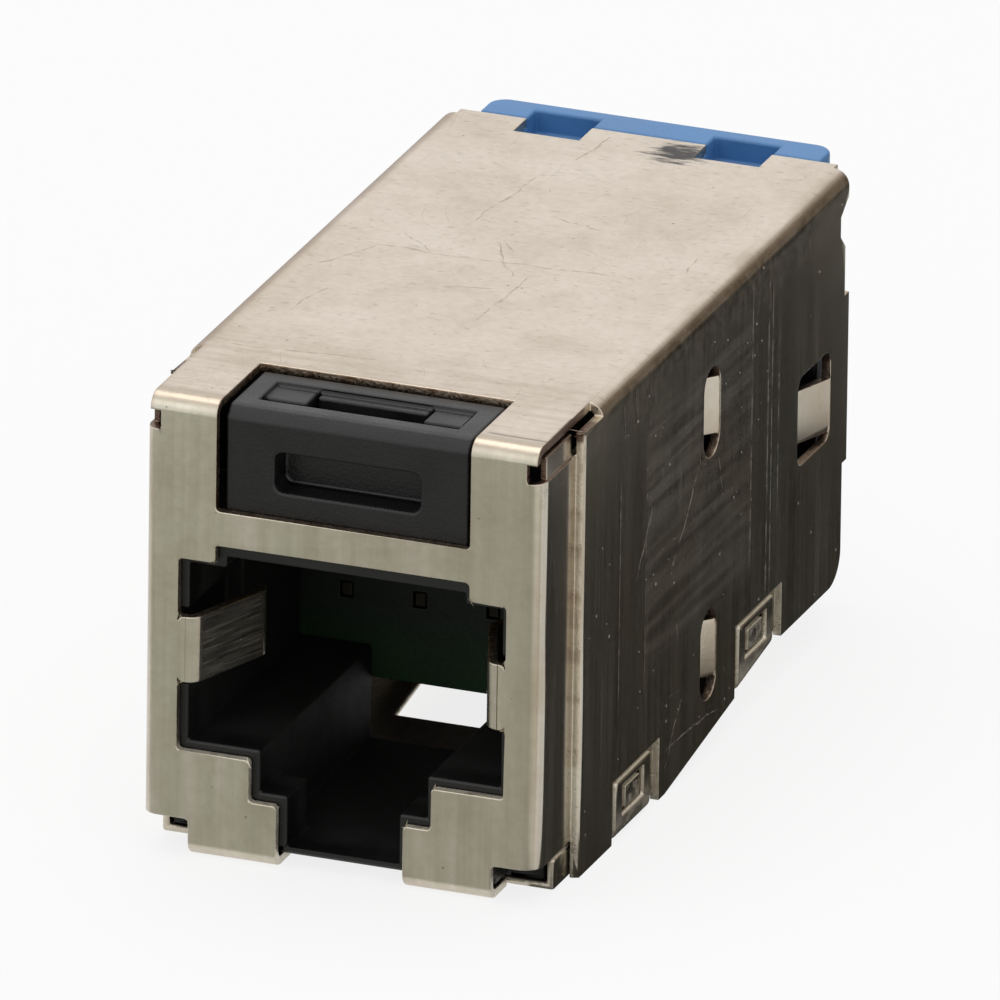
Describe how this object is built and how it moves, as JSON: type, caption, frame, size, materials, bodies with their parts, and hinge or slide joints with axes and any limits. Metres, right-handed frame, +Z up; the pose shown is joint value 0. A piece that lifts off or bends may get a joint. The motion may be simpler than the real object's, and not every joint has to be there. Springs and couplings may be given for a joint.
{
  "type": "shielded modular jack",
  "caption": "Shielded modular jack: folded metal shell with a stepped plug opening, black housing with spring contacts, and a blue rear cap with a round cable entry.",
  "frame": {"origin": "middle of the bottom of the bounding box", "axes": "+X across the jack, to the right seen from the plug side; +Y from the plug side to the cable side; +Z up, away from the plug's latch"},
  "size_m": [0.0156, 0.0322, 0.0174],
  "materials": {
    "shell_sheet": "nickel-plated copper-alloy sheet, satin with rub marks",
    "cover_sheet": "nickel-plated sheet",
    "housing_plastic": "moulded black plastic",
    "carrier_plastic": "moulded black plastic",
    "board": "glass-epoxy board with green resist",
    "gold": "gold-plated spring wire",
    "block_plastic": "moulded dark plastic",
    "tinned_brass": "tin-plated brass",
    "cap_plastic": "moulded blue plastic"
  },
  "bodies": {
    "root": {"shield_shell": "shell_sheet", "bottom_cover": "cover_sheet", "jack_housing": "housing_plastic", "contact_carrier": "carrier_plastic", "pcb": "board", "contact_1": "gold", "contact_2": "gold", "contact_3": "gold", "contact_4": "gold", "contact_5": "gold", "contact_6": "gold", "contact_7": "gold", "contact_8": "gold", "idc_block": "block_plastic", "idc_1": "tinned_brass", "idc_2": "tinned_brass", "idc_3": "tinned_brass", "idc_4": "tinned_brass", "idc_5": "tinned_brass", "idc_6": "tinned_brass", "idc_7": "tinned_brass", "idc_8": "tinned_brass", "wire_manager": "cap_plastic"}
  },
  "joints": []
}
